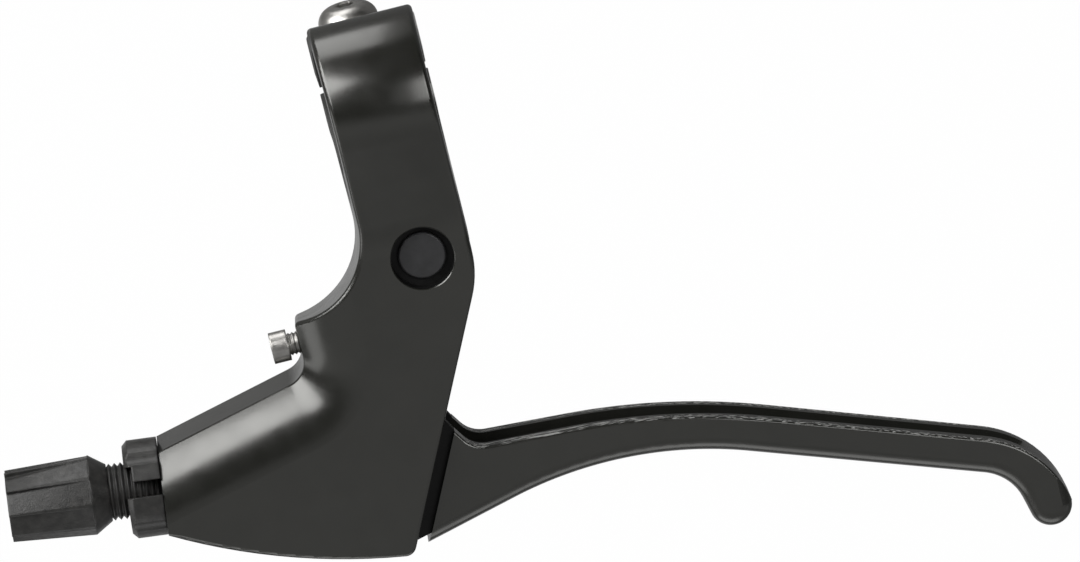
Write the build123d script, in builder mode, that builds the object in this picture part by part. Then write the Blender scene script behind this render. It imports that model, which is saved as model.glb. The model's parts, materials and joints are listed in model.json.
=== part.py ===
from build123d import *
import os
from math import asin, atan2, cos, degrees, radians, sin, sqrt, tan

# Left-hand bicycle brake lever: a cast bracket that clamps round the handlebar,
# a cast blade that turns in the bracket's fork, and a threaded cable adjuster.
# Origin at the centre of the bar clamp. +X runs along the bar towards the blade's
# tip, +Y points to the rider and +Z points up, along the blade's pivot.
# Sizes are in millimetres and angles in degrees.

os.makedirs("parts", exist_ok=True)

# Bar clamp
bar_diameter = 22.2
clamp_wall = 3.8
clamp_left_reach = 9.5
clamp_right_reach = 8.95
side_draft = 2.5
clamp_slit = 4.0
ear_height = 18.8
ear_wall = 2.7
ear_corner_radius = 3.0
ear_root_radius = 2.5
bolt_offset = 2.4
bolt_ring_gap = 0.4

# Bracket body
cheek_height = 9.0
neck_foot_above_ledge = 11.4
neck_blend_radius = 20.0
neck_fillet_radius = 14.5
shelf_angle = 9.0
shelf_lean = 8.0
shelf_crease_height = 7.3
ledge_offset = 24.0
ledge_top_drop = 33.5
ledge_corner_radius = 0.9
notch_below_screw = 5.36
notch_radius = 4.4
wall_angle = 13.5
margin_width = 11.0
margin_fall = 5.4
lower_margin_fall = 1.8
fork_corner_drop = 31.97
fork_corner_radius = 18.0
fork_edge_angle = 25.85
front_edge_radius = 110.0
front_corner_radius = 2.0
rim_radius = 0.8

# Cable adjuster
boss_offset = 53.3
boss_below_notch = 13.84
boss_below_cable = 6.75
front_below_cable = 20.9
cable_angle = 6.5
thread_radius = 5.0
thread_depth = 0.6
thread_pitch = 1.0
thread_engagement = 11.0
thread_showing = 3.2
cable_hole_radius = 2.2
cable_slot_width = 2.4
ring_length = 6.1
ring_radius = 8.6
ring_chamfer = 0.9
ring_slot_width = 2.8
ring_slot_angle = 15.0
ring_hollows = 4
ring_hollow_radius = 3.0
ring_hollow_depth = 0.4
ring_hollow_angle = 54.0
ring_step_depth = 1.3
ring_step_width = 4.0
barrel_cone_length = 3.0
barrel_length = 14.6
barrel_inner_radius = 7.0
barrel_outer_radius = 6.35
barrel_edge_radius = 1.2
barrel_flutes = 9
flute_depth = 0.9
flute_angle = 38.0
housing_radius = 2.6
housing_depth = 9.0
inner_cable_radius = 1.1

# Pivot
pivot_offset = 0.4
pivot_drop = 26.9
fork_gap = 10.4
axle_radius = 3.0
axle_head_radius = 4.15
axle_head_height = 0.8
axle_head_edge = 0.25
axle_recess_radius = 5.5
axle_seat_height = 6.2
recess_chamfer = 0.15
clip_radius = 4.6
clip_height = 0.7
clip_groove_radius = 2.4
axle_tail = 0.9
hub_radius = 8.0
bush_radius = 4.6
bush_flange_radius = 6.6
bush_flange_height = 0.7
bush_length = 4.2
clip_opening = 3.6

# Reach screw
reach_drop = 38.5
reach_thread_radius = 2.0
reach_head_radius = 2.75
reach_head_height = 3.0
reach_standoff = 2.0
reach_edge_radius = 1.2
reach_thread_depth = 0.3
reach_pitch = 0.7
reach_socket_width = 2.0
reach_socket_depth = 1.6
ledge_wall = 4.5

# Blade
blade_root_half_width = 5.9
blade_tip_half_width = 4.6
blade_below_cable = 5.45
blade_start_angle = -3.3
blade_bend_offset = 35.5
blade_bend_radius = 118.0
blade_angle = -20.1
blade_thickness = 6.5
blade_reach = 100.1
tip_straight = 0.9
tip_end_angle = -76.0
tip_radius = 3.75
tip_outer_radius = 19.0
tip_inner_radius = 9.0
finger_bend_radius = 71.0
finger_edge_radius = 2.8
nose_step = 0.2
flange_width = 2.7
flange_edge_radius = 0.45
channel_depth = 4.2
channel_root_inset = 2.0
channel_end_inset = 12.1
channel_rise = 6.0
channel_end_radius = 12.0

# Blade root
shoulder_gap = 2.4
shoulder_rise = 3.85
shoulder_above_front = 0.35
shoulder_fall_angle = -57.0
shoulder_fillet_radius = 5.0
root_edge_angle = 14.0
root_height = 9.8
root_rise = 4.6
root_back_offset = 17.5
root_back_below_cable = 8.3
root_low_inset = 1.6
heel_below_screw = 4.5
heel_above_screw = 1.0
anchor_offset = 10.7
hook_radius = 4.4
hook_height = 9.4
hook_chamfer = 0.3
nipple_radius = 3.1
nipple_depth = 7.0
cable_sweep_angle = 36.0
cable_sweep_reach = 20.0

# Clearances
running_fit = 0.05
seat_gap = 0.1
swing_gap = 0.5

# Clamp bolt
bolt_radius = 2.5
bolt_clearance = 0.3
bolt_head_radius = 5.3
bolt_head_height = 4.4
bolt_socket_width = 3.0
bolt_socket_depth = 2.2
bolt_head_edge = 2.9
bolt_thread_depth = 0.4
bolt_pitch = 0.8
bolt_end_inset = 0.5

# Places that follow from the sizes
bore_radius = bar_diameter / 2
ring_outer = bore_radius + clamp_wall
notch_drop = reach_drop + notch_below_screw
boss_drop = notch_drop + boss_below_notch
front_drop = boss_drop + front_below_cable
blade_drop = boss_drop + blade_below_cable
half_gap = fork_gap / 2
half_root = root_height / 2
ear_half = ear_height / 2
bolt_drop = sqrt(ring_outer**2 - ear_half**2) + bolt_head_radius + bolt_ring_gap
ear_reach = bolt_drop + bolt_radius + bolt_clearance + ear_wall
depth = ear_reach + clamp_wall
span = front_drop + ear_reach
pivot = Vector(pivot_offset, -pivot_drop)
boss = Vector(-boss_offset, -boss_drop)
ledge_top = Vector(-ledge_offset, -ledge_top_drop)
notch = Vector(-ledge_offset, -notch_drop)
fork_corner = Vector(clamp_right_reach, -fork_corner_drop)


def along(angle):
    """Unit vector in the plan, turned from +X by the angle."""
    return Vector(cos(radians(angle)), sin(radians(angle)))


def meet(point_a, angle_a, point_b, angle_b):
    """Where two straight lines in the plan cross."""
    way_a = along(angle_a)
    way_b = along(angle_b)
    between = point_b - point_a
    cross = way_a.X * way_b.Y - way_a.Y * way_b.X
    return point_a + way_a * ((between.X * way_b.Y - between.Y * way_b.X) / cross)


fork_angle = 90 - fork_edge_angle
boss_angle = 90 - cable_angle
fork_low = meet(fork_corner, fork_angle, Vector(0, -front_drop), 0)
wall_reach = cheek_height + clamp_wall
shelf_fall = wall_reach * tan(radians(shelf_lean))
ledge_over = ledge_top + Vector(0, shelf_fall)
right_over = meet(fork_corner, 90, ledge_over, shelf_angle)
neck_corner = meet(ledge_top, shelf_angle, Vector(-clamp_left_reach, 0), 90)
boss_top = meet(boss, boss_angle, notch, wall_angle)
boss_low = boss - along(boss_angle) * boss_below_cable
anchor = meet(boss, -cable_angle, Vector(-anchor_offset, 0), 90)

# Axis frame of the adjuster: its +Z points outwards, away from the bracket
cable_out = Plane(origin=boss, x_dir=(0, 0, 1), z_dir=along(180 - cable_angle))

# Side planes of the bracket: the neck's left side leans out towards the bottom and the
# shelf beside it leans in, while the right side stands square
left_side = Plane(
    origin=(-clamp_left_reach, 0, 0),
    x_dir=(0, 1, 0),
    z_dir=(-cos(radians(side_draft)), 0, sin(radians(side_draft))),
)
shelf_normal = along(shelf_angle + 90) * cos(radians(shelf_lean))
shelf_side = Plane(
    origin=(ledge_top.X, ledge_top.Y, shelf_crease_height),
    x_dir=along(shelf_angle),
    z_dir=(shelf_normal.X, shelf_normal.Y, -sin(radians(shelf_lean))),
)
neck_reach = clamp_left_reach + 2 * depth * tan(radians(side_draft))
neck_low = ledge_top - Vector(0, 2 * shelf_fall)

with BuildPart() as neck_blank:
    with BuildSketch():
        with BuildLine():
            Polyline(
                (-neck_reach, depth),
                meet(neck_low, shelf_angle, Vector(-neck_reach, 0), 90),
                fork_corner - along(fork_angle) * fork_corner_radius / 2,
                fork_corner,
                (clamp_right_reach, depth),
                close=True,
            )
        make_face()
    extrude(amount=depth, both=True)
    split(bisect_by=left_side, keep=Keep.BOTTOM)


def upright(builder, point):
    """The standing edge nearest to a point of the plan."""
    standing = builder.edges().filter_by(lambda edge: abs(edge.tangent_at(0.5).Z) > 0.9)
    return standing.sort_by_distance((point.X, point.Y, 0))[0]


with BuildPart() as wall_blank:
    with BuildSketch():
        with BuildLine():
            Line(boss_top, boss_low)
            RadiusArc(boss_low, fork_low, -front_edge_radius)
            Polyline(fork_low, fork_corner, right_over, ledge_over, notch, boss_top)
        make_face()
    extrude(amount=wall_reach, both=True)
    split(bisect_by=shelf_side, keep=Keep.BOTTOM)
    add(neck_blank.part)
    fillet(upright(wall_blank, fork_corner), fork_corner_radius)
    fillet(upright(wall_blank, neck_corner), neck_fillet_radius)
    fillet(upright(wall_blank, notch), notch_radius)
    fillet(upright(wall_blank, fork_low), front_corner_radius)
    fillet(upright(wall_blank, ledge_top), ledge_corner_radius)

# Side view of ring, ears, neck and cheeks, kept inside the margin that rolls over
level_y = neck_foot_above_ledge - ledge_top_drop
foot_distance = sqrt(level_y**2 + cheek_height**2)
neck_slope = degrees(asin(ring_outer / foot_distance) - atan2(cheek_height, -level_y))
neck_start_y = -ring_outer * sin(radians(neck_slope))
neck_start_z = ring_outer * cos(radians(neck_slope))
ear_top_z = -sqrt(ring_outer**2 - ear_half**2)
ear_low_z = -neck_start_z + (neck_start_y + ear_half) * tan(radians(neck_slope))
notch_centre = meet(
    notch + along(wall_angle + 90) * notch_radius, wall_angle, notch - Vector(notch_radius, 0), 90
)
inner_radius = margin_width + notch_radius
margin_wall_end = notch_centre + along(wall_angle - 90) * inner_radius
margin_bend = notch_centre + along((wall_angle - 90) / 2) * inner_radius
margin_ledge_end = notch_centre + along(0) * inner_radius
margin_far = margin_wall_end - along(wall_angle) * span

with BuildPart() as crown_blank:
    with BuildSketch(Plane.YZ.offset(-span)) as side_view:
        with BuildLine():
            Line((-span, cheek_height), (level_y, cheek_height))
            Line((level_y, cheek_height), (neck_start_y, neck_start_z))
            ThreePointArc((neck_start_y, neck_start_z), (ring_outer, 0), (ear_half, ear_top_z))
            Polyline(
                (ear_half, ear_top_z),
                (ear_half, -ear_reach),
                (-ear_half, -ear_reach),
                (-ear_half, ear_low_z),
                (level_y, -cheek_height),
                (-span, -cheek_height),
                (-span, cheek_height),
            )
        make_face()
        bends = side_view.vertices()
        fillet(bends.filter_by(lambda corner: abs(corner.X - level_y) < 0.01), neck_blend_radius)
        fillet(side_view.vertices().sort_by_distance((-ear_half, ear_low_z))[0], ear_root_radius)
        fillet(side_view.vertices().group_by(Axis.Y)[0], ear_corner_radius)
    extrude(amount=2 * span)
    with BuildSketch():
        with BuildLine():
            Line(margin_far, margin_wall_end)
            ThreePointArc(margin_wall_end, margin_bend, margin_ledge_end)
            Polyline(
                margin_ledge_end,
                (margin_ledge_end.X, span),
                (span, span),
                (span, -span),
                (margin_far.X, -span),
                margin_far,
            )
        make_face()
    extrude(amount=depth, both=True, mode=Mode.INTERSECT)

# Margin that rolls over towards the rider's side, along the wall, the notch and the ledge
roll_overrun = rim_radius


def roll(fall):
    """Radius of a margin's roll and the height left where its section ends."""
    radius = (margin_width**2 + fall**2) / (2 * fall)
    return radius, cheek_height - radius + sqrt(radius**2 - (margin_width + roll_overrun) ** 2)


upper_roll, upper_end = roll(margin_fall)
lower_roll, lower_end = roll(lower_margin_fall)
wall_plane = Plane(
    origin=notch_centre + along(wall_angle - 90) * notch_radius,
    x_dir=along(wall_angle - 90),
    z_dir=along(wall_angle + 180),
)
ledge_plane = Plane(origin=notch_centre + along(0) * notch_radius, x_dir=(1, 0, 0), z_dir=(0, -1, 0))


def margin_section(plane):
    """Section of the rolled margin, with its first axis pointing into the body."""
    with BuildSketch(plane) as section:
        with BuildLine():
            RadiusArc((-roll_overrun, upper_end), (margin_width, cheek_height), upper_roll)
            Line((margin_width, cheek_height), (margin_width, -cheek_height))
            RadiusArc((margin_width, -cheek_height), (-roll_overrun, -lower_end), lower_roll)
            Line((-roll_overrun, -lower_end), (-roll_overrun, upper_end))
        make_face()
    return section.sketch


ledge_run = notch_drop - ledge_top_drop + margin_width

with BuildPart() as margin_blank:
    extrude(margin_section(wall_plane), amount=boss_offset - ledge_offset + margin_width)
    extrude(margin_section(ledge_plane), amount=-ledge_run)
    revolve(
        margin_section(ledge_plane),
        axis=Axis(notch_centre, (0, 0, 1)),
        revolution_arc=wall_angle - 90,
    )


def rim_edges(builder):
    """Edges round the tops and bottoms of the standing walls, apart from the boss's end."""
    rims = ShapeList()
    for face in builder.faces():
        is_round = face.geom_type == GeomType.CYLINDER
        is_clamp_round = is_round and abs(face.axis_of_rotation.direction.X) > 0.9
        is_ear_flat = face.geom_type == GeomType.PLANE and abs(face.normal_at().X) < 0.01
        leans = abs(face.normal_at(face.center()).Z) > 0.3
        if is_clamp_round or is_ear_flat or leans:
            continue
        for edge in face.edges():
            stands = edge.geom_type == GeomType.LINE and abs(edge.tangent_at(0.5).Z) > 0.9
            on_boss = abs((edge @ 0.5 - boss).dot(along(-cable_angle))) < 0.05
            if not stands and not on_boss:
                rims.append(edge)
    return rims


# Fork slot, seen from above: round the hub, open to the right and to the front
slot_left = -ledge_offset + ledge_wall
heel_top = -reach_drop + reach_thread_radius + heel_above_screw

with BuildPart() as lever_bracket:
    add(crown_blank.part)
    add(margin_blank.part)
    add(wall_blank.part, mode=Mode.INTERSECT)
    fillet(rim_edges(lever_bracket), rim_radius)
    # Bar bore and slit between the ears
    with BuildSketch(Plane.YZ):
        Circle(bore_radius)
        with Locations((0, -depth / 2)):
            Rectangle(clamp_slit, depth)
    extrude(amount=span, both=True, mode=Mode.SUBTRACT)
    # Clamp bolt hole: free in the ear next to the rider, threaded in the other
    with BuildSketch(Plane.XZ):
        with Locations((-bolt_offset, -bolt_drop)):
            Circle(bolt_radius + bolt_clearance)
    extrude(amount=-ear_height, mode=Mode.SUBTRACT)
    with BuildSketch(Plane.XZ):
        with Locations((-bolt_offset, -bolt_drop)):
            Circle(bolt_radius + running_fit)
    extrude(amount=ear_height, mode=Mode.SUBTRACT)
    # Fork slot
    with BuildSketch():
        with BuildLine():
            Polyline(
                (pivot.X, pivot.Y + hub_radius + swing_gap),
                (span, pivot.Y + hub_radius + swing_gap),
                (span, -span),
                (-ledge_offset - ledge_wall, -span),
                (-ledge_offset - ledge_wall, -notch_drop - margin_width),
                (slot_left, -notch_drop),
                (slot_left, heel_top + 2 * swing_gap),
                (pivot.X - hub_radius / 2, pivot.Y - hub_radius / 2),
                close=True,
            )
        make_face()
        with Locations(pivot):
            Circle(hub_radius + swing_gap)
    extrude(amount=half_gap, both=True, mode=Mode.SUBTRACT)
    # Pivot hole with a recess in each cheek
    with BuildSketch(Plane.XZ.offset(-pivot.Y)):
        with BuildLine():
            Polyline(
                (pivot.X, axle_seat_height),
                (pivot.X + axle_recess_radius, axle_seat_height),
                (pivot.X + axle_recess_radius, cheek_height - recess_chamfer),
                (pivot.X + axle_recess_radius + 2 * recess_chamfer, cheek_height + recess_chamfer),
                (pivot.X + axle_recess_radius + 2 * recess_chamfer, depth),
                (pivot.X, depth),
                close=True,
            )
        make_face()
        mirror(about=Plane.XZ)
    revolve(axis=Axis((pivot.X, pivot.Y, 0), (0, 0, 1)), mode=Mode.SUBTRACT)
    with Locations(pivot):
        Cylinder(axle_radius + running_fit, 2 * depth, mode=Mode.SUBTRACT)
    # Threaded hole for the adjuster, cable hole and cable slot on the lower side
    with BuildSketch(cable_out):
        Circle(thread_radius + running_fit)
    extrude(amount=-thread_engagement - thread_pitch, mode=Mode.SUBTRACT)
    with BuildSketch(cable_out):
        Circle(cable_hole_radius)
        with Locations((-depth / 2, 0)):
            Rectangle(depth, cable_slot_width)
    extrude(amount=-boss_offset + ledge_offset, mode=Mode.SUBTRACT)
    # Threaded hole for the reach screw
    with BuildSketch(Plane.YZ.offset(-ledge_offset)):
        with Locations((-reach_drop, 0)):
            Circle(reach_thread_radius + running_fit)
    extrude(amount=ledge_wall, both=True, mode=Mode.SUBTRACT)

lever_bracket.part.label = "lever_bracket"
export_step(lever_bracket.part, "parts/lever_bracket.step")


def thread_profile(radius, ridge_depth, pitch, start, end):
    """Points along a thread's flank, as pairs of radius and place along its axis."""
    count = max(1, round((end - start) / pitch))
    step = (end - start) / count
    points = [(radius - ridge_depth, start)]
    for turn in range(count):
        points.append((radius, start + (turn + 0.5) * step))
        points.append((radius - ridge_depth, start + (turn + 1) * step))
    return points


# Blade outline corners, from the fork round the tip and back along the finger side
shoulder = fork_corner + along(fork_angle - 90) * shoulder_gap
blade_start = Vector(0, -blade_drop)
shoulder_top = meet(shoulder, fork_angle, blade_start + Vector(0, shoulder_rise), 0)
shoulder_low = meet(shoulder, fork_angle, Vector(0, shoulder_above_front - front_drop), 0)
root_corner = meet(shoulder_top, shoulder_fall_angle, blade_start, blade_start_angle)
bend_corner = meet(blade_start, blade_start_angle, Vector(blade_bend_offset, 0), 90)
tip_across = along(tip_end_angle + 90) * tip_radius
tip_run = tip_outer_radius * tan(radians((blade_angle - tip_end_angle) / 2)) + tip_straight
tip_way = along(tip_end_angle) * tip_run
tip_corner_place = blade_reach - tip_radius + tip_across.X - tip_way.X
tip_corner = meet(bend_corner, blade_angle, Vector(tip_corner_place, 0), 90)
tip_centre = tip_corner + tip_way - tip_across
finger_point = bend_corner + along(blade_angle - 90) * blade_thickness
tip_inner_corner = meet(finger_point, blade_angle, tip_centre - tip_across, tip_end_angle)
finger_corner = meet(finger_point, blade_angle, shoulder_low, root_edge_angle)
blade_far = 2 * blade_reach


def inside_line(inset):
    """First straight, bend and second straight of the rider side, moved into the blade."""
    first = blade_start + along(blade_start_angle - 90) * inset
    second = bend_corner + along(blade_angle - 90) * inset
    return first, meet(first, blade_start_angle, second, blade_angle)


def half_width_at(place, inset):
    """Half the blade's width, less an inset, at a place along X."""
    taper = (blade_root_half_width - blade_tip_half_width) / blade_reach
    return blade_root_half_width - taper * place - inset


def front_taper(start, end, inset, nose_radius):
    """The blade's tapering width seen from the front, with a rounded far end."""
    start_half = half_width_at(start, inset)
    end_half = half_width_at(end, inset)
    with BuildSketch(Plane.XZ) as taper:
        with BuildLine():
            Polyline((start, start_half), (end, end_half), (end, -end_half), (start, -start_half), close=True)
        make_face()
        if nose_radius:
            fillet(taper.vertices().group_by(Axis.X)[-1], nose_radius)
    return taper.sketch


def blade_blank(edge_radius):
    """The blade's outline at its tapering width, with every long edge rounded."""
    with BuildPart() as blank:
        with BuildSketch():
            with BuildLine():
                FilletPolyline(
                    shoulder_top,
                    root_corner,
                    bend_corner,
                    tip_corner,
                    tip_centre + tip_across,
                    radius=[shoulder_fillet_radius, blade_bend_radius, tip_outer_radius],
                )
                ThreePointArc(
                    tip_centre + tip_across,
                    tip_centre + along(tip_end_angle) * tip_radius,
                    tip_centre - tip_across,
                )
                FilletPolyline(
                    tip_centre - tip_across,
                    tip_inner_corner,
                    finger_corner,
                    shoulder_low,
                    radius=[tip_inner_radius, finger_bend_radius],
                )
                Line(shoulder_low, shoulder_top)
            make_face()
        extrude(amount=2 * blade_root_half_width, both=True)
        extrude(
            front_taper(2 * shoulder_low.X, blade_far, 0, 0),
            amount=blade_far,
            both=True,
            mode=Mode.INTERSECT,
        )
        sides = blank.faces().filter_by(lambda face: abs(face.normal_at().Z) > 0.9)
        middle = (shoulder_top + shoulder_low) * 0.5
        reach = (shoulder_top - shoulder_low).length / 4
        long_edges = ShapeList()
        for edge in sides.edges():
            place = edge @ 0.5
            if (Vector(place.X, place.Y) - middle).length > reach:
                long_edges.append(edge)
        fillet(long_edges, edge_radius)
    return blank.part


# Finger side of the blade, below a line that runs half the thickness inside the rider side
mid_first, mid_bend = inside_line(blade_thickness / 2)
mid_start = meet(mid_first, blade_start_angle, Vector(2 * shoulder_low.X, 0), 90)
mid_tip = meet(mid_bend, blade_angle, tip_centre, tip_end_angle)

with BuildPart() as finger_zone:
    with BuildSketch():
        with BuildLine():
            FilletPolyline(
                mid_start,
                mid_bend,
                mid_tip,
                tip_centre,
                radius=[blade_bend_radius, (tip_outer_radius + tip_inner_radius) / 2],
            )
            Polyline(
                tip_centre,
                (blade_far, tip_centre.Y),
                (blade_far, -blade_far),
                (mid_start.X, -blade_far),
                mid_start,
            )
        make_face()
    extrude(amount=4 * blade_root_half_width, both=True)

with BuildPart() as finger_half:
    add(blade_blank(finger_edge_radius))
    add(finger_zone.part, mode=Mode.INTERSECT)

# Rider side of the blade, with its tip rounded a step outside the finger side's rounding
nose_radius = finger_edge_radius + 2 * nose_step

with BuildPart() as rider_half:
    add(blade_blank(flange_edge_radius))
    extrude(
        front_taper(2 * shoulder_low.X, blade_reach + nose_step, -nose_step, nose_radius),
        amount=blade_far,
        both=True,
        mode=Mode.INTERSECT,
    )
    add(finger_zone.part, mode=Mode.SUBTRACT)

# Channel along the rider side, with a floor that rises out near the tip
floor_first, floor_bend = inside_line(channel_depth)
channel_side = shoulder - along(fork_angle - 90) * channel_root_inset
floor_start = meet(floor_first, blade_start_angle, channel_side, fork_angle)
floor_run_out = meet(floor_bend, blade_angle, Vector(blade_reach - channel_end_inset, 0), 90)
floor_end = meet(floor_run_out, channel_rise, Vector(blade_far, 0), 90)

with BuildPart() as channel:
    with BuildSketch():
        with BuildLine():
            FilletPolyline(
                floor_start,
                floor_bend,
                floor_run_out,
                floor_end,
                radius=[blade_bend_radius, channel_end_radius],
            )
            Polyline(floor_end, (blade_far, 0), meet(channel_side, fork_angle, Vector(), 0), floor_start)
        make_face()
    extrude(amount=blade_root_half_width, both=True)
    extrude(
        front_taper(2 * shoulder_low.X, blade_reach, flange_width, 0),
        amount=blade_far,
        both=True,
        mode=Mode.INTERSECT,
    )

# Root that turns between the bracket's cheeks
heel = slot_left + swing_gap
hub_side = pivot + along(fork_angle - 90) * hub_radius
root_top = meet(hub_side, fork_angle, shoulder_top + Vector(0, root_rise), 0)
root_low = shoulder_low + along(90 + root_edge_angle) * root_low_inset
bush_bore_radius = bush_radius + running_fit / 2
flange_seat = half_gap - seat_gap - bush_flange_height

with BuildPart() as brake_lever:
    add(finger_half.part)
    add(rider_half.part)
    with BuildSketch():
        with BuildLine():
            Polyline(
                hub_side,
                root_top,
                shoulder_top,
                root_corner,
                root_low + along(root_edge_angle) * hub_radius,
                root_low - along(root_edge_angle) * hook_radius / 2,
                (-root_back_offset, -boss_drop - root_back_below_cable),
                (heel, -reach_drop - heel_below_screw),
                (heel, heel_top),
                pivot - Vector(hub_radius, hub_radius + swing_gap) * 0.5,
                close=True,
            )
        make_face()
        with Locations(pivot):
            Circle(hub_radius)
    extrude(amount=half_root, both=True)
    add(channel.part, mode=Mode.SUBTRACT)
    # Bore for the bushes, with a seat for each bush's flange
    with Locations(pivot):
        Cylinder(bush_bore_radius, root_height, mode=Mode.SUBTRACT)
    for side in (1, -1):
        with Locations((pivot.X, pivot.Y, side * (flange_seat + depth / 2))):
            Cylinder(bush_flange_radius + seat_gap, depth, mode=Mode.SUBTRACT)
    # Bore for the cable hook and the opening that the cable swings in
    with Locations(anchor):
        Cylinder(hook_radius + running_fit, 2 * depth, mode=Mode.SUBTRACT)
    cable_line = 180 - cable_angle
    cable_aside = along(cable_line - 90) * cable_slot_width / 2
    with BuildSketch(Plane.XY.offset(-depth)):
        with BuildLine():
            Polyline(
                anchor - cable_aside,
                anchor - cable_aside + along(cable_line) * cable_sweep_reach,
                anchor + along(cable_line - cable_sweep_angle) * cable_sweep_reach,
                anchor + cable_aside,
                close=True,
            )
        make_face()
    extrude(amount=depth + cable_slot_width / 2, mode=Mode.SUBTRACT)

brake_lever.part.label = "brake_lever"
export_step(brake_lever.part, "parts/brake_lever.step")

# Axle with a flat black head in the upper cheek and a groove for its clip below
groove_top = -axle_seat_height
groove_low = groove_top - clip_height - seat_gap
axle_plane = Plane(origin=pivot, x_dir=(1, 0, 0), z_dir=(0, -1, 0))

with BuildPart() as pivot_axle:
    with BuildSketch(axle_plane):
        with BuildLine():
            Polyline(
                (0, axle_seat_height + axle_head_height),
                (axle_head_radius - axle_head_edge, axle_seat_height + axle_head_height),
                (axle_head_radius, axle_seat_height + axle_head_height - axle_head_edge),
                (axle_head_radius, axle_seat_height),
                (axle_radius, axle_seat_height),
                (axle_radius, groove_top),
                (clip_groove_radius, groove_top),
                (clip_groove_radius, groove_low),
                (axle_radius, groove_low),
                (axle_radius, groove_low - axle_tail + axle_head_edge),
                (axle_radius - axle_head_edge, groove_low - axle_tail),
                (0, groove_low - axle_tail),
                close=True,
            )
        make_face()
    revolve(axis=Axis((pivot.X, pivot.Y, 0), (0, 0, 1)))

pivot_axle.part.label = "pivot_axle"
export_step(pivot_axle.part, "parts/pivot_axle.step")

# Spring clip that sits in the axle's groove
with BuildPart() as axle_clip:
    with BuildSketch(Plane.XY.offset(groove_top - clip_height - seat_gap / 2)):
        with Locations(pivot):
            Circle(clip_radius)
            Circle(clip_groove_radius + running_fit, mode=Mode.SUBTRACT)
        with Locations(pivot - Vector(0, clip_radius)):
            Rectangle(clip_opening, 2 * clip_radius, mode=Mode.SUBTRACT)
    extrude(amount=clip_height)

axle_clip.part.label = "axle_clip"
export_step(axle_clip.part, "parts/axle_clip.step")

# Flanged bush pressed into the upper end of the blade's hub, and its mirror image below
with BuildPart() as upper_pivot_bush:
    with BuildSketch(Plane.XY.offset(flange_seat)):
        with Locations(pivot):
            Circle(bush_flange_radius)
    extrude(amount=bush_flange_height)
    with BuildSketch(Plane.XY.offset(flange_seat)):
        with Locations(pivot):
            Circle(bush_radius)
    extrude(amount=bush_flange_height - bush_length)
    with Locations(pivot):
        Cylinder(axle_radius + running_fit, 2 * depth, mode=Mode.SUBTRACT)

upper_pivot_bush.part.label = "upper_pivot_bush"
export_step(upper_pivot_bush.part, "parts/upper_pivot_bush.step")

with BuildPart() as lower_pivot_bush:
    mirror(upper_pivot_bush.part, about=Plane.XY)

lower_pivot_bush.part.label = "lower_pivot_bush"
export_step(lower_pivot_bush.part, "parts/lower_pivot_bush.step")

# Swivelling hook that holds the cable's end nipple
with BuildPart() as cable_hook:
    with Locations(anchor):
        Cylinder(hook_radius, hook_height)
    chamfer(cable_hook.edges().filter_by(GeomType.CIRCLE), hook_chamfer)
    with BuildSketch(Plane.XY.offset(-hook_height / 2)):
        with Locations(anchor):
            Circle(nipple_radius)
    extrude(amount=nipple_depth, mode=Mode.SUBTRACT)
    with BuildSketch(Plane(origin=(anchor.X, anchor.Y, -hook_height / 2), x_dir=along(180 - cable_angle))):
        with Locations((hook_radius, 0)):
            Rectangle(2 * hook_radius, cable_slot_width)
    extrude(amount=(hook_height + cable_slot_width) / 2, mode=Mode.SUBTRACT)

cable_hook.part.label = "cable_hook"
export_step(cable_hook.part, "parts/cable_hook.step")

# Plastic adjuster barrel: a threaded stem and a fluted knob with a socket for the housing
cable_profile = Plane(origin=boss, x_dir=(0, 0, 1), z_dir=along(270 - cable_angle))
cable_axis = Axis(boss, along(180 - cable_angle))
stem_end = seat_gap + ring_length + thread_showing
knob_start = stem_end + barrel_cone_length
knob_end = knob_start + barrel_length

with BuildPart() as adjuster_barrel:
    with BuildSketch(cable_profile) as barrel_section:
        with BuildLine():
            Polyline(
                (inner_cable_radius, -thread_engagement),
                *thread_profile(thread_radius, thread_depth, thread_pitch, -thread_engagement, stem_end),
                (thread_radius, stem_end),
                (barrel_inner_radius, knob_start),
                (barrel_outer_radius, knob_end),
                (housing_radius, knob_end),
                (housing_radius, knob_end - housing_depth),
                (inner_cable_radius, knob_end - housing_depth),
                close=True,
            )
        make_face()
        knob_corner = cable_profile.from_local_coords((barrel_outer_radius, knob_end))
        fillet(barrel_section.vertices().sort_by_distance(knob_corner)[0], barrel_edge_radius)
    revolve(axis=cable_axis)
    # Flutes: one steep wall each, deepest at the outer end and fading out at the inner end
    for flute in range(barrel_flutes):
        edge_angle = flute_angle + flute * 360 / barrel_flutes
        next_angle = edge_angle - 360 / barrel_flutes
        for place, radius, fall in (
            (knob_end, barrel_outer_radius, flute_depth),
            (knob_start, barrel_inner_radius, 0),
        ):
            with BuildSketch(cable_out.offset(place)):
                with BuildLine():
                    Polyline(
                        along(edge_angle) * (radius - fall),
                        along(edge_angle) * (radius + flute_depth),
                        along(next_angle) * (radius + flute_depth),
                        along(next_angle) * (radius + flute_depth / 4),
                        close=True,
                    )
                make_face()
        loft(mode=Mode.SUBTRACT)

adjuster_barrel.part.label = "adjuster_barrel"
export_step(adjuster_barrel.part, "parts/adjuster_barrel.step")

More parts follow.
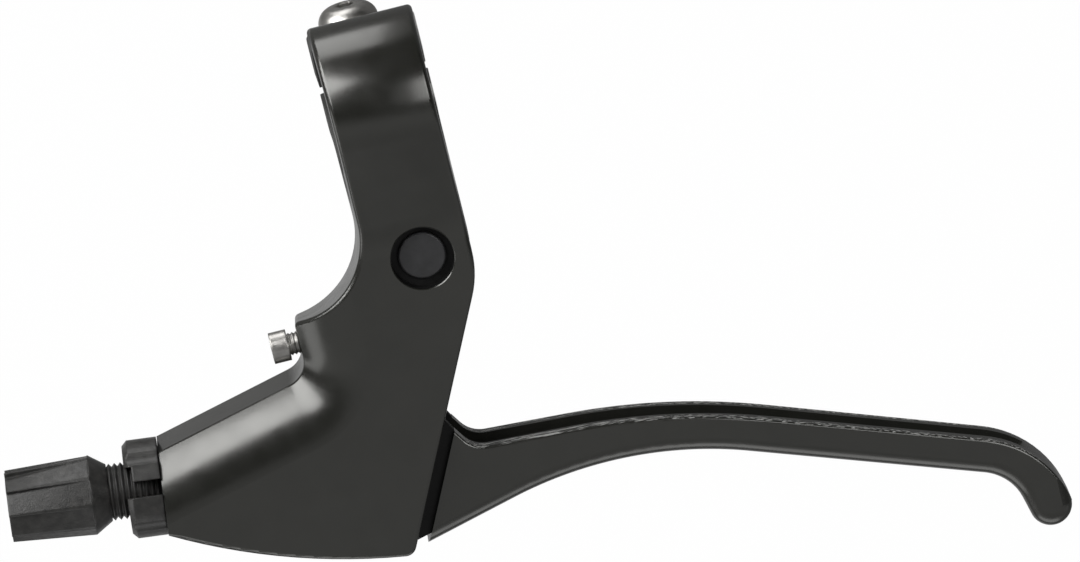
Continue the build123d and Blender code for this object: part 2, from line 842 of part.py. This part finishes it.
# Plastic lock ring, slotted so that it can be slipped over the cable
with BuildPart() as adjuster_lock_ring:
    with BuildSketch(cable_out.offset(seat_gap)):
        Circle(ring_radius)
    extrude(amount=ring_length)
    rims = adjuster_lock_ring.edges().filter_by(GeomType.CIRCLE)
    chamfer(rims.sort_by(cable_axis)[-1], ring_chamfer)
    with BuildSketch(cable_out.offset(seat_gap)):
        Circle(thread_radius + running_fit)
        with PolarLocations(
            ring_radius + ring_hollow_radius - ring_hollow_depth, ring_hollows, start_angle=ring_hollow_angle
        ):
            Circle(ring_hollow_radius)
        with PolarLocations(ring_radius, 1, start_angle=ring_slot_angle):
            Rectangle(2 * ring_radius, ring_slot_width)
    extrude(amount=ring_length, mode=Mode.SUBTRACT)
    # Step in the outer end beside the slot
    with BuildSketch(cable_out.offset(seat_gap + ring_length)):
        with PolarLocations(ring_radius, 1, start_angle=ring_slot_angle):
            with Locations((0, ring_step_width / 2)):
                Rectangle(2 * ring_radius, ring_step_width)
    extrude(amount=-ring_step_depth, mode=Mode.SUBTRACT)

adjuster_lock_ring.part.label = "adjuster_lock_ring"
export_step(adjuster_lock_ring.part, "parts/adjuster_lock_ring.step")

# Steel clamp bolt with a rounded socket head on the ear next to the rider
bolt_place = Vector(-bolt_offset, 0, -bolt_drop)
bolt_plane = Plane(origin=bolt_place, x_dir=(1, 0, 0), z_dir=(0, 0, 1))
bolt_end = -ear_half + bolt_end_inset
head_top = ear_half + bolt_head_height

with BuildPart() as clamp_bolt:
    with BuildSketch(bolt_plane) as bolt_section:
        with BuildLine():
            Polyline(
                (0, bolt_end),
                *thread_profile(bolt_radius, bolt_thread_depth, bolt_pitch, bolt_end, ear_half),
                (bolt_head_radius, ear_half),
                (bolt_head_radius, head_top),
                (0, head_top),
                close=True,
            )
        make_face()
        head_corner = bolt_plane.from_local_coords((bolt_head_radius, head_top))
        fillet(bolt_section.vertices().sort_by_distance(head_corner)[0], bolt_head_edge)
    revolve(axis=Axis(bolt_place, (0, 1, 0)))
    with BuildSketch(Plane(origin=bolt_place + Vector(0, head_top, 0), x_dir=(1, 0, 0), z_dir=(0, 1, 0))):
        RegularPolygon(bolt_socket_width / 2, 6, major_radius=False)
    extrude(amount=-bolt_socket_depth, mode=Mode.SUBTRACT)

clamp_bolt.part.label = "clamp_bolt"
export_step(clamp_bolt.part, "parts/clamp_bolt.step")

# Small steel screw whose tip stops the blade's heel and so sets the blade's reach
reach_place = Vector(0, -reach_drop, 0)
reach_plane = Plane(origin=reach_place, x_dir=(0, 1, 0), z_dir=(0, 0, -1))
reach_tip = heel - seat_gap
head_seat = -ledge_offset - reach_standoff
head_end = head_seat - reach_head_height

with BuildPart() as reach_screw:
    with BuildSketch(reach_plane) as reach_section:
        with BuildLine():
            Polyline(
                (0, head_end),
                (reach_head_radius, head_end),
                (reach_head_radius, head_seat),
                *thread_profile(reach_thread_radius, reach_thread_depth, reach_pitch, head_seat, reach_tip),
                (0, reach_tip),
                close=True,
            )
        make_face()
        head_corner = reach_plane.from_local_coords((reach_head_radius, head_end))
        fillet(reach_section.vertices().sort_by_distance(head_corner)[0], reach_edge_radius)
        seat_corner = reach_plane.from_local_coords((reach_head_radius, head_seat))
        fillet(reach_section.vertices().sort_by_distance(seat_corner)[0], reach_edge_radius)
    revolve(axis=Axis(reach_place, (1, 0, 0)))
    with BuildSketch(Plane(origin=reach_place + Vector(head_end, 0, 0), x_dir=(0, 1, 0), z_dir=(-1, 0, 0))):
        RegularPolygon(reach_socket_width / 2, 6, major_radius=False)
    extrude(amount=-reach_socket_depth, mode=Mode.SUBTRACT)

reach_screw.part.label = "reach_screw"
export_step(reach_screw.part, "parts/reach_screw.step")
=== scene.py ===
import json
import math

import bpy
from mathutils import Matrix, Vector

# A left-hand bicycle brake lever for a flat bar, seen from above. All sizes are in metres.
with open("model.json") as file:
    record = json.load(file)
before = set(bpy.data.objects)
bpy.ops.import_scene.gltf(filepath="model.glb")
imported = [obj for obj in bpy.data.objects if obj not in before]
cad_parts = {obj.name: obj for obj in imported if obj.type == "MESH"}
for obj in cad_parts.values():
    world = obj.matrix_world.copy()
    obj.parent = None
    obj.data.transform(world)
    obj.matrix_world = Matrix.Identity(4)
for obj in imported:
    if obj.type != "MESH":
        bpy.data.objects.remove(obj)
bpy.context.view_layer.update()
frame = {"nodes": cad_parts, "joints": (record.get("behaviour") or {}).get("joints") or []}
nodes = frame["nodes"]

# Bracket
# A body of cast aluminium under semi-gloss black paint. Its band is clamped round the
# handlebar, and the two cheeks of its fork carry the blade on the pivot axle.
paint_dark = (0.012, 0.0121, 0.0102)
paint_light = (0.0145, 0.0146, 0.0124)
paint_shine = (1.0, 1.0, 0.97, 1)
peel_size = 0.0006
peel_height = 0.00004
corner_angle = 28
# Most of a noise texture's values lie between these two
noise_low = 0.3
noise_high = 0.7


def new_material(name):
    """A new node material, with its shader and the object's own coordinates."""
    material = bpy.data.materials.new(name)
    material.use_nodes = True
    tree = material.node_tree
    shader = tree.nodes["Principled BSDF"]
    place = tree.nodes.new("ShaderNodeTexCoord").outputs["Object"]
    return material, tree, shader, place


def noise(tree, place, size, detail):
    """Cloudy noise with features of about the given size."""
    texture = tree.nodes.new("ShaderNodeTexNoise")
    texture.inputs["Scale"].default_value = 1 / size
    texture.inputs["Detail"].default_value = detail
    tree.links.new(place, texture.inputs["Vector"])
    return texture.outputs["Fac"]


def tint(tree, value, dark, light, socket):
    """Feeds a colour socket with a blend of two colours, by noise."""
    ramp = tree.nodes.new("ShaderNodeValToRGB")
    for stop, position, colour in zip(ramp.color_ramp.elements, (noise_low, noise_high), (dark, light)):
        stop.position = position
        stop.color = (*colour, 1)
    tree.links.new(value, ramp.inputs["Fac"])
    tree.links.new(ramp.outputs["Color"], socket)


def spread(tree, value, low, high, socket):
    """Feeds a socket with noise that is spread over low to high."""
    span = tree.nodes.new("ShaderNodeMapRange")
    span.inputs["From Min"].default_value = noise_low
    span.inputs["From Max"].default_value = noise_high
    span.inputs["To Min"].default_value = low
    span.inputs["To Max"].default_value = high
    tree.links.new(value, span.inputs["Value"])
    tree.links.new(span.outputs["Result"], socket)


def drifting_finish(name, dark, light, clouds, roughness, patches):
    """A material whose colour and roughness drift, in clouds and patches of a size and a detail."""
    material, tree, shader, place = new_material(name)
    tint(tree, noise(tree, place, *clouds), dark, light, shader.inputs["Base Color"])
    spread(tree, noise(tree, place, *patches), *roughness, shader.inputs["Roughness"])
    return material, tree, shader, place


def grain(tree, shader, value, height, strength):
    """Raises the surface a little by a value."""
    bump = tree.nodes.new("ShaderNodeBump")
    bump.inputs["Distance"].default_value = height
    bump.inputs["Strength"].default_value = strength
    tree.links.new(value, bump.inputs["Height"])
    tree.links.new(bump.outputs["Normal"], shader.inputs["Normal"])
    return bump


def black_paint(name):
    """Semi-gloss black paint over a casting, with faint clouds and a fine orange-peel grain."""
    material, tree, shader, place = drifting_finish(
        name,
        dark=paint_dark,
        light=paint_light,
        clouds=(0.012, 4),
        roughness=(0.2, 0.27),
        patches=(0.004, 5),
    )
    shader.inputs["Specular IOR Level"].default_value = 1.0
    shader.inputs["Specular Tint"].default_value = paint_shine
    peel = noise(tree, place, peel_size, detail=2)
    bump = grain(tree, shader, peel, peel_height, strength=0.1)
    return material, tree, shader, place, bump


def apart(tree, vector):
    """The three coordinates of a vector, by their letters."""
    split = tree.nodes.new("ShaderNodeSeparateXYZ")
    tree.links.new(vector, split.inputs["Vector"])
    return split.outputs


def calculate(tree, operation, first, second=0):
    """The result of a calculation with two values, each of them a socket or a number."""
    step = tree.nodes.new("ShaderNodeMath")
    step.operation = operation
    for socket, value in zip(step.inputs, (first, second)):
        if isinstance(value, (int, float)):
            socket.default_value = value
        else:
            tree.links.new(value, socket)
    return step.outputs[0]


def ease(tree, value, none, full):
    """A mask that eases from 0 at one value to 1 at the other."""
    step = tree.nodes.new("ShaderNodeMapRange")
    step.interpolation_type = "SMOOTHSTEP"
    step.inputs["From Min"].default_value = none
    step.inputs["From Max"].default_value = full
    tree.links.new(value, step.inputs["Value"])
    return step.outputs["Result"]


def below(tree, value, limit, softness):
    """A mask of 1 where a value is below the limit and of 0 above it."""
    return ease(tree, value, limit + softness, limit - softness)


def cover(tree, shader, mask, colour, roughness):
    """Gives the surface another colour and roughness where a mask is 1."""
    for name, kind, value in (("Base Color", "RGBA", (*colour, 1)), ("Roughness", "FLOAT", roughness)):
        painted = shader.inputs[name].links[0].from_socket
        mix = tree.nodes.new("ShaderNodeMix")
        mix.data_type = kind
        share, under, over = [socket for socket in mix.inputs if socket.enabled]
        tree.links.new(mask, share)
        tree.links.new(painted, under)
        over.default_value = value
        result, = [socket for socket in mix.outputs if socket.enabled]
        tree.links.new(result, shader.inputs[name])


def wear(node, material, angle):
    """Gives a CAD solid its material, shaded smoothly but for corners of more than the angle."""
    mesh = nodes[node].data
    mesh.polygons.foreach_set("use_smooth", [True] * len(mesh.polygons))
    mesh.set_sharp_from_angle(angle=math.radians(angle))
    mesh.materials.clear()
    mesh.materials.append(material)


paint, tree, shader, place, bump = black_paint("bracket_paint")
at = apart(tree, place)
# The band of the clamp is slightly crowned across its width, and the crown fades into the neck
crown_radius = 0.05
crown_middle = -0.0015
crown_fades_from = -0.008
crown_fades_to = -0.024
on_band = ease(tree, at["Y"], none=crown_fades_to, full=crown_fades_from)
aside = calculate(tree, "SUBTRACT", at["X"], crown_middle)
sink = calculate(tree, "MULTIPLY", calculate(tree, "POWER", aside, 2), -0.5 / crown_radius)
crown = tree.nodes.new("ShaderNodeBump")
crown.inputs["Distance"].default_value = 1
tree.links.new(calculate(tree, "MULTIPLY", sink, on_band), crown.inputs["Height"])
tree.links.new(crown.outputs["Normal"], bump.inputs["Normal"])
# Painted shade: the lower left side of the clamp, as far as the neck, is painted near-black and dull in
# place of the shade of a hollow side
clamp_left = -0.0092
shade_top = 0.004
neck_top = -0.016
painted_shade_black = (0.0015, 0.0015, 0.0015)
on_left = below(tree, at["X"], clamp_left, softness=0.0001)
low_down = below(tree, at["Z"], shade_top, softness=0.0015)
on_neck = below(tree, at["Y"], neck_top, softness=0.003)
shaded_low_left = calculate(tree, "MULTIPLY", on_left, low_down)
cover(tree, shader, calculate(tree, "SUBTRACT", shaded_low_left, on_neck), painted_shade_black, roughness=0.7)
wear("lever_bracket", paint, corner_angle)

# Painted shade: a near-black, dull material stands in for the shade in the axle's recesses, the bore
# between them and the fork's gap on the blade's root
painted_shade_wall, tree, shader, place = drifting_finish(
    "painted_shade_recess",
    dark=(0.003, 0.003, 0.003),
    light=(0.006, 0.006, 0.006),
    clouds=(0.001, 4),
    roughness=(0.5, 0.65),
    patches=(0.0005, 3),
)
shader.inputs["Specular IOR Level"].default_value = 0.25
pivot_joint, = [joint for joint in frame["joints"] if joint["name"] == "lever_pivot"]
pivot = Vector(pivot_joint["pos_m"])
recess_radius = 0.0056
recess_rim = 0.0088


def shade_faces(node, in_shade):
    """Gives the near-black painted shade to those faces of a CAD solid whose centres pass a test."""
    mesh = nodes[node].data
    mesh.materials.append(painted_shade_wall)
    for face in mesh.polygons:
        if in_shade(face.center):
            face.material_index = 1


def in_recess(centre):
    """True inside the two recesses round the axle's ends and in the bore between them."""
    from_axis = centre - pivot
    return abs(from_axis.z) < recess_rim and from_axis.xy.length < recess_radius


# The recesses round the axle's ends and the bore between them get the painted shade
shade_faces("lever_bracket", in_recess)

# Blade
# A cast aluminium lever in the same paint, which turns on the pivot axle. Its finger side
# is rounded and its rider side is hollowed out between two flanges.
channel_half = 0.0036
scratch_width = 0.0003
scratch_length = 0.005
scratch_colour = (0.3, 0.3, 0.29)
out_of_fork = Vector((0.9, -0.436, 0))
fork_line = 0.024


def above(tree, value, limit, softness):
    """A mask of 1 where a value is above the limit and of 0 below it."""
    return ease(tree, value, limit - softness, limit + softness)


def in_fork(centre):
    """True on the root of the blade, which turns between the bracket's cheeks."""
    return centre.dot(out_of_fork) < fork_line


blade_paint, tree, shader, place, bump = black_paint("blade_paint")
# The rims of the flanges face the rider and are rubbed, so light scratches run along them
facing = apart(tree, tree.nodes["Texture Coordinate"].outputs["Normal"])
towards_rider = above(tree, facing["Y"], 0.6, softness=0.1)
from_middle = calculate(tree, "ABSOLUTE", apart(tree, place)["Z"])
beside_channel = above(tree, from_middle, channel_half, softness=0.0001)
on_rim = calculate(tree, "MULTIPLY", towards_rider, beside_channel)
stretch = tree.nodes.new("ShaderNodeMapping")
stretch.inputs["Scale"].default_value = (scratch_width / scratch_length, 1, 1)
tree.links.new(place, stretch.inputs["Vector"])
streaks = noise(tree, stretch.outputs["Vector"], scratch_width, detail=5)
scratch = above(tree, streaks, 0.55, softness=0.04)
cover(tree, shader, calculate(tree, "MULTIPLY", on_rim, scratch), scratch_colour, roughness=0.35)
wear("brake_lever", blade_paint, corner_angle)
# The blade's root, which turns between the bracket's cheeks, gets the painted shade of the fork's gap
shade_faces("brake_lever", in_fork)

# Pivot axle and clip
# A turned axle of blackened steel, on which the blade swings. Its flat head lies in a recess
# of the upper cheek, and a spring clip in its groove holds it under the lower cheek.
edge_radius = 0.0004


def soften(tree, bump, radius):
    """Rounds sharp edges off to the eye, as moulding or tumbling leaves them."""
    edge = tree.nodes.new("ShaderNodeBevel")
    edge.samples = 6
    edge.inputs["Radius"].default_value = radius
    tree.links.new(edge.outputs["Normal"], bump.inputs["Normal"])


black_steel, tree, shader, place = drifting_finish(
    "black_steel",
    dark=(0.028, 0.028, 0.029),
    light=(0.04, 0.04, 0.042),
    clouds=(0.002, 5),
    roughness=(0.3, 0.42),
    patches=(0.0008, 3),
)
blacking = noise(tree, place, size=0.0003, detail=2)
soften(tree, grain(tree, shader, blacking, height=0.00002, strength=0.3), edge_radius)
for node in ("pivot_axle", "axle_clip"):
    wear(node, black_steel, corner_angle)

# Pivot bushes
# Two flanged bushes moulded in black plastic. They are pressed into the blade's hub from
# above and below and turn with it on the axle.
bush_plastic, tree, shader, place = drifting_finish(
    "bush_plastic",
    dark=(0.012, 0.012, 0.012),
    light=(0.02, 0.02, 0.02),
    clouds=(0.003, 3),
    roughness=(0.45, 0.55),
    patches=(0.001, 3),
)
for node in ("upper_pivot_bush", "lower_pivot_bush"):
    wear(node, bush_plastic, corner_angle)

# Cable adjuster
# A barrel with a threaded stem and a slotted lock ring, both moulded in matt dark grey
# plastic. The stem screws into the bracket's boss and the ring locks it.
flute_angle = 20
plastic, tree, shader, place = drifting_finish(
    "adjuster_plastic",
    dark=(0.016, 0.0158, 0.015),
    light=(0.034, 0.033, 0.031),
    clouds=(0.0015, 6),
    roughness=(0.3, 0.46),
    patches=(0.001, 4),
)
mould_grain = noise(tree, place, size=0.00035, detail=3)
soften(tree, grain(tree, shader, mould_grain, height=0.00006, strength=0.5), edge_radius)
for node in ("adjuster_barrel", "adjuster_lock_ring"):
    wear(node, plastic, flute_angle)

# Clamp bolt, reach screw and cable hook
# All three are of bright zinc-plated steel. The bolt draws the clamp's ears together, the
# screw in the ledge stops the blade's heel, and the hook swivels in the blade's root.
steel, tree, shader, place = drifting_finish(
    "bright_steel",
    dark=(0.4, 0.39, 0.37),
    light=(0.52, 0.51, 0.49),
    clouds=(0.0012, 6),
    roughness=(0.3, 0.4),
    patches=(0.0006, 4),
)
shader.inputs["Metallic"].default_value = 1
plating = noise(tree, place, size=0.0002, detail=3)
soften(tree, grain(tree, shader, plating, height=0.00002, strength=0.4), edge_radius)
for node in ("clamp_bolt", "reach_screw", "cable_hook"):
    wear(node, steel, corner_angle)

# Camera
# It looks down on the lever, nearly along the pivot. The view is turned a little in the
# picture, swung to one side and tipped, so that the rider's side of the blade shows.
turn = math.radians(13.5)
swing = math.radians(3.5)
tip = math.radians(15.0)
distance = 1.6
photo_width = 1080
photo_height = 562
pixels_per_millimetre = 5.8
clamp_pixel = (381.07, 99.74)
pixel = 0.001 / pixels_per_millimetre
across = Vector((math.cos(turn), -math.sin(turn), 0))
along = Vector((math.sin(turn), math.cos(turn), 0))
upright = Vector((0, 0, 1))
right = across * math.cos(swing) + upright * math.sin(swing)
downward = across * math.sin(swing) - upright * math.cos(swing)
up = along * math.cos(tip) + downward * math.sin(tip)
back = right.cross(up)
right_of_clamp = (photo_width / 2 - clamp_pixel[0]) * pixel
under_clamp = (photo_height / 2 - clamp_pixel[1]) * pixel
middle = right * right_of_clamp - up * under_clamp
camera_data = bpy.data.cameras.new("camera")
camera_data.sensor_width = 36
camera_data.lens = camera_data.sensor_width * distance / (photo_width * pixel)
camera_data.clip_start = 0.05
camera = bpy.data.objects.new("camera", camera_data)
turned = Matrix((right, up, back)).transposed().to_4x4()
camera.matrix_world = Matrix.Translation(middle + back * distance) @ turned
bpy.context.scene.collection.objects.link(camera)
bpy.context.scene.camera = camera

# Studio
# A pale floor lies well below the lever, in a room that is grey in front and dark overhead
# and on the rider's side. A large soft light stands up on the left, and four weaker ones
# stand behind the clamp, on the left, on the right and in front.
floor_height = -0.5
floor_half = 4.0
floor_colours = ((0.8, 0.8, 0.8), (0.83, 0.83, 0.83))
white_share = 0.985
patch_centre = across * -0.2 - along * 0.5
patch_radius = 0.55
patch_softness = 0.08
patch_level = 0.5
dark_level = 0.16
floor_mesh = bpy.data.meshes.new("floor")
corners = [(-1, -1), (1, -1), (1, 1), (-1, 1)]
floor_points = [(x * floor_half, y * floor_half, floor_height) for x, y in corners]
floor_mesh.from_pydata(floor_points, [], [(0, 1, 2, 3)])
floor = bpy.data.objects.new("floor", floor_mesh)
bpy.context.scene.collection.objects.link(floor)
pale, tree, shader, place = new_material("pale_floor")
tint(tree, noise(tree, place, size=0.4, detail=2), *floor_colours, shader.inputs["Base Color"])
shader.inputs["Roughness"].default_value = 0.8


def blend(tree, share, plain, other):
    """A blend of two shaders, by the share of the second one."""
    mix = tree.nodes.new("ShaderNodeMixShader")
    tree.links.new(share, mix.inputs["Fac"])
    tree.links.new(plain.outputs[0], mix.inputs[1])
    tree.links.new(other.outputs[0], mix.inputs[2])
    return mix.outputs["Shader"]


# The floor is white to the camera. In reflections it is a round patch at half that level in
# dark surroundings, like a table in a dark room. All other light meets the plain floor.
from_centre = tree.nodes.new("ShaderNodeVectorMath")
from_centre.operation = "DISTANCE"
from_centre.inputs[1].default_value = (patch_centre.x, patch_centre.y, floor_height)
tree.links.new(place, from_centre.inputs[0])
on_patch = below(tree, from_centre.outputs["Value"], patch_radius, patch_softness)
mirror_level = calculate(tree, "MAXIMUM", calculate(tree, "MULTIPLY", on_patch, patch_level), dark_level)
ray = tree.nodes.new("ShaderNodeLightPath").outputs
seen = calculate(tree, "MULTIPLY", ray["Is Camera Ray"], white_share)
mirrored = calculate(tree, "MAXIMUM", ray["Is Glossy Ray"], ray["Is Transmission Ray"])
white = tree.nodes.new("ShaderNodeEmission")
white_level = calculate(tree, "MAXIMUM", ray["Is Camera Ray"], mirror_level)
tree.links.new(white_level, white.inputs["Strength"])
surface = blend(tree, calculate(tree, "MAXIMUM", seen, mirrored), shader, white)
tree.links.new(surface, tree.nodes["Material Output"].inputs["Surface"])
floor_mesh.materials.append(pale)

# The room's brightness at places on the way from the front, at 0, to the rider's side, at 1
room_levels = ((0.0, 0.5), (0.08, 0.42), (0.17, 0.27), (0.3, 0.36), (0.37, 0.43), (0.48, 0.02), (1.0, 0.02))
world = bpy.data.worlds.new("room")
bpy.context.scene.world = world
world.use_nodes = True
tree = world.node_tree
background = tree.nodes["Background"]
direction = tree.nodes.new("ShaderNodeTexCoord").outputs["Generated"]
lean = tree.nodes.new("ShaderNodeVectorMath")
lean.operation = "DOT_PRODUCT"
lean.inputs[1].default_value = along
tree.links.new(direction, lean.inputs[0])
way = tree.nodes.new("ShaderNodeMapRange")
way.inputs["From Min"].default_value = -1
way.inputs["From Max"].default_value = 1
tree.links.new(lean.outputs["Value"], way.inputs["Value"])
room = tree.nodes.new("ShaderNodeValToRGB")
stops = room.color_ramp.elements
for position, level in room_levels[1:-1]:
    stops.new(position)
for stop, (position, level) in zip(stops, room_levels):
    stop.position = position
    stop.color = (level, level, level, 1)
tree.links.new(way.outputs["Result"], room.inputs["Fac"])
tree.links.new(room.outputs["Color"], background.inputs["Color"])
# Beyond the floor's edge the camera sees white
white = tree.nodes.new("ShaderNodeBackground")
white.inputs["Color"].default_value = (1, 1, 1, 1)
ray = tree.nodes.new("ShaderNodeLightPath").outputs
surface = blend(tree, ray["Is Camera Ray"], background, white)
tree.links.new(surface, tree.nodes["World Output"].inputs["Surface"])


def softbox(name, around, aside, reach, width, length, brightness):
    """A rectangular soft light, turned round the view by one angle and aside from it by the other."""
    lamp = bpy.data.lights.new(name, "AREA")
    lamp.shape = "RECTANGLE"
    lamp.size = width
    lamp.size_y = length
    lamp.energy = math.pi * width * length * brightness
    box = bpy.data.objects.new(name, lamp)
    around = math.radians(around)
    aside = math.radians(aside)
    sideways = right * math.cos(around) + up * math.sin(around)
    away = back * math.cos(aside) + sideways * math.sin(aside)
    outward = sideways * math.cos(aside) - back * math.sin(aside)
    turned = Matrix((outward.cross(away), outward, away)).transposed().to_4x4()
    box.matrix_world = Matrix.Translation(away * reach) @ turned
    box.visible_camera = False
    bpy.context.scene.collection.objects.link(box)


softbox("key_light", around=149, aside=54, reach=1.0, width=0.7, length=1.05, brightness=6.0)
softbox("top_light", around=112, aside=93, reach=0.3, width=0.16, length=0.2, brightness=2.6)
softbox("left_light", around=210, aside=88, reach=1.0, width=0.6, length=0.6, brightness=1.15)
softbox("right_light", around=14, aside=33, reach=1.0, width=0.5, length=0.55, brightness=3.6)
softbox("front_light", around=270, aside=96, reach=1.0, width=1.2, length=0.5, brightness=0.9)

bpy.context.scene.view_settings.view_transform = "Standard"
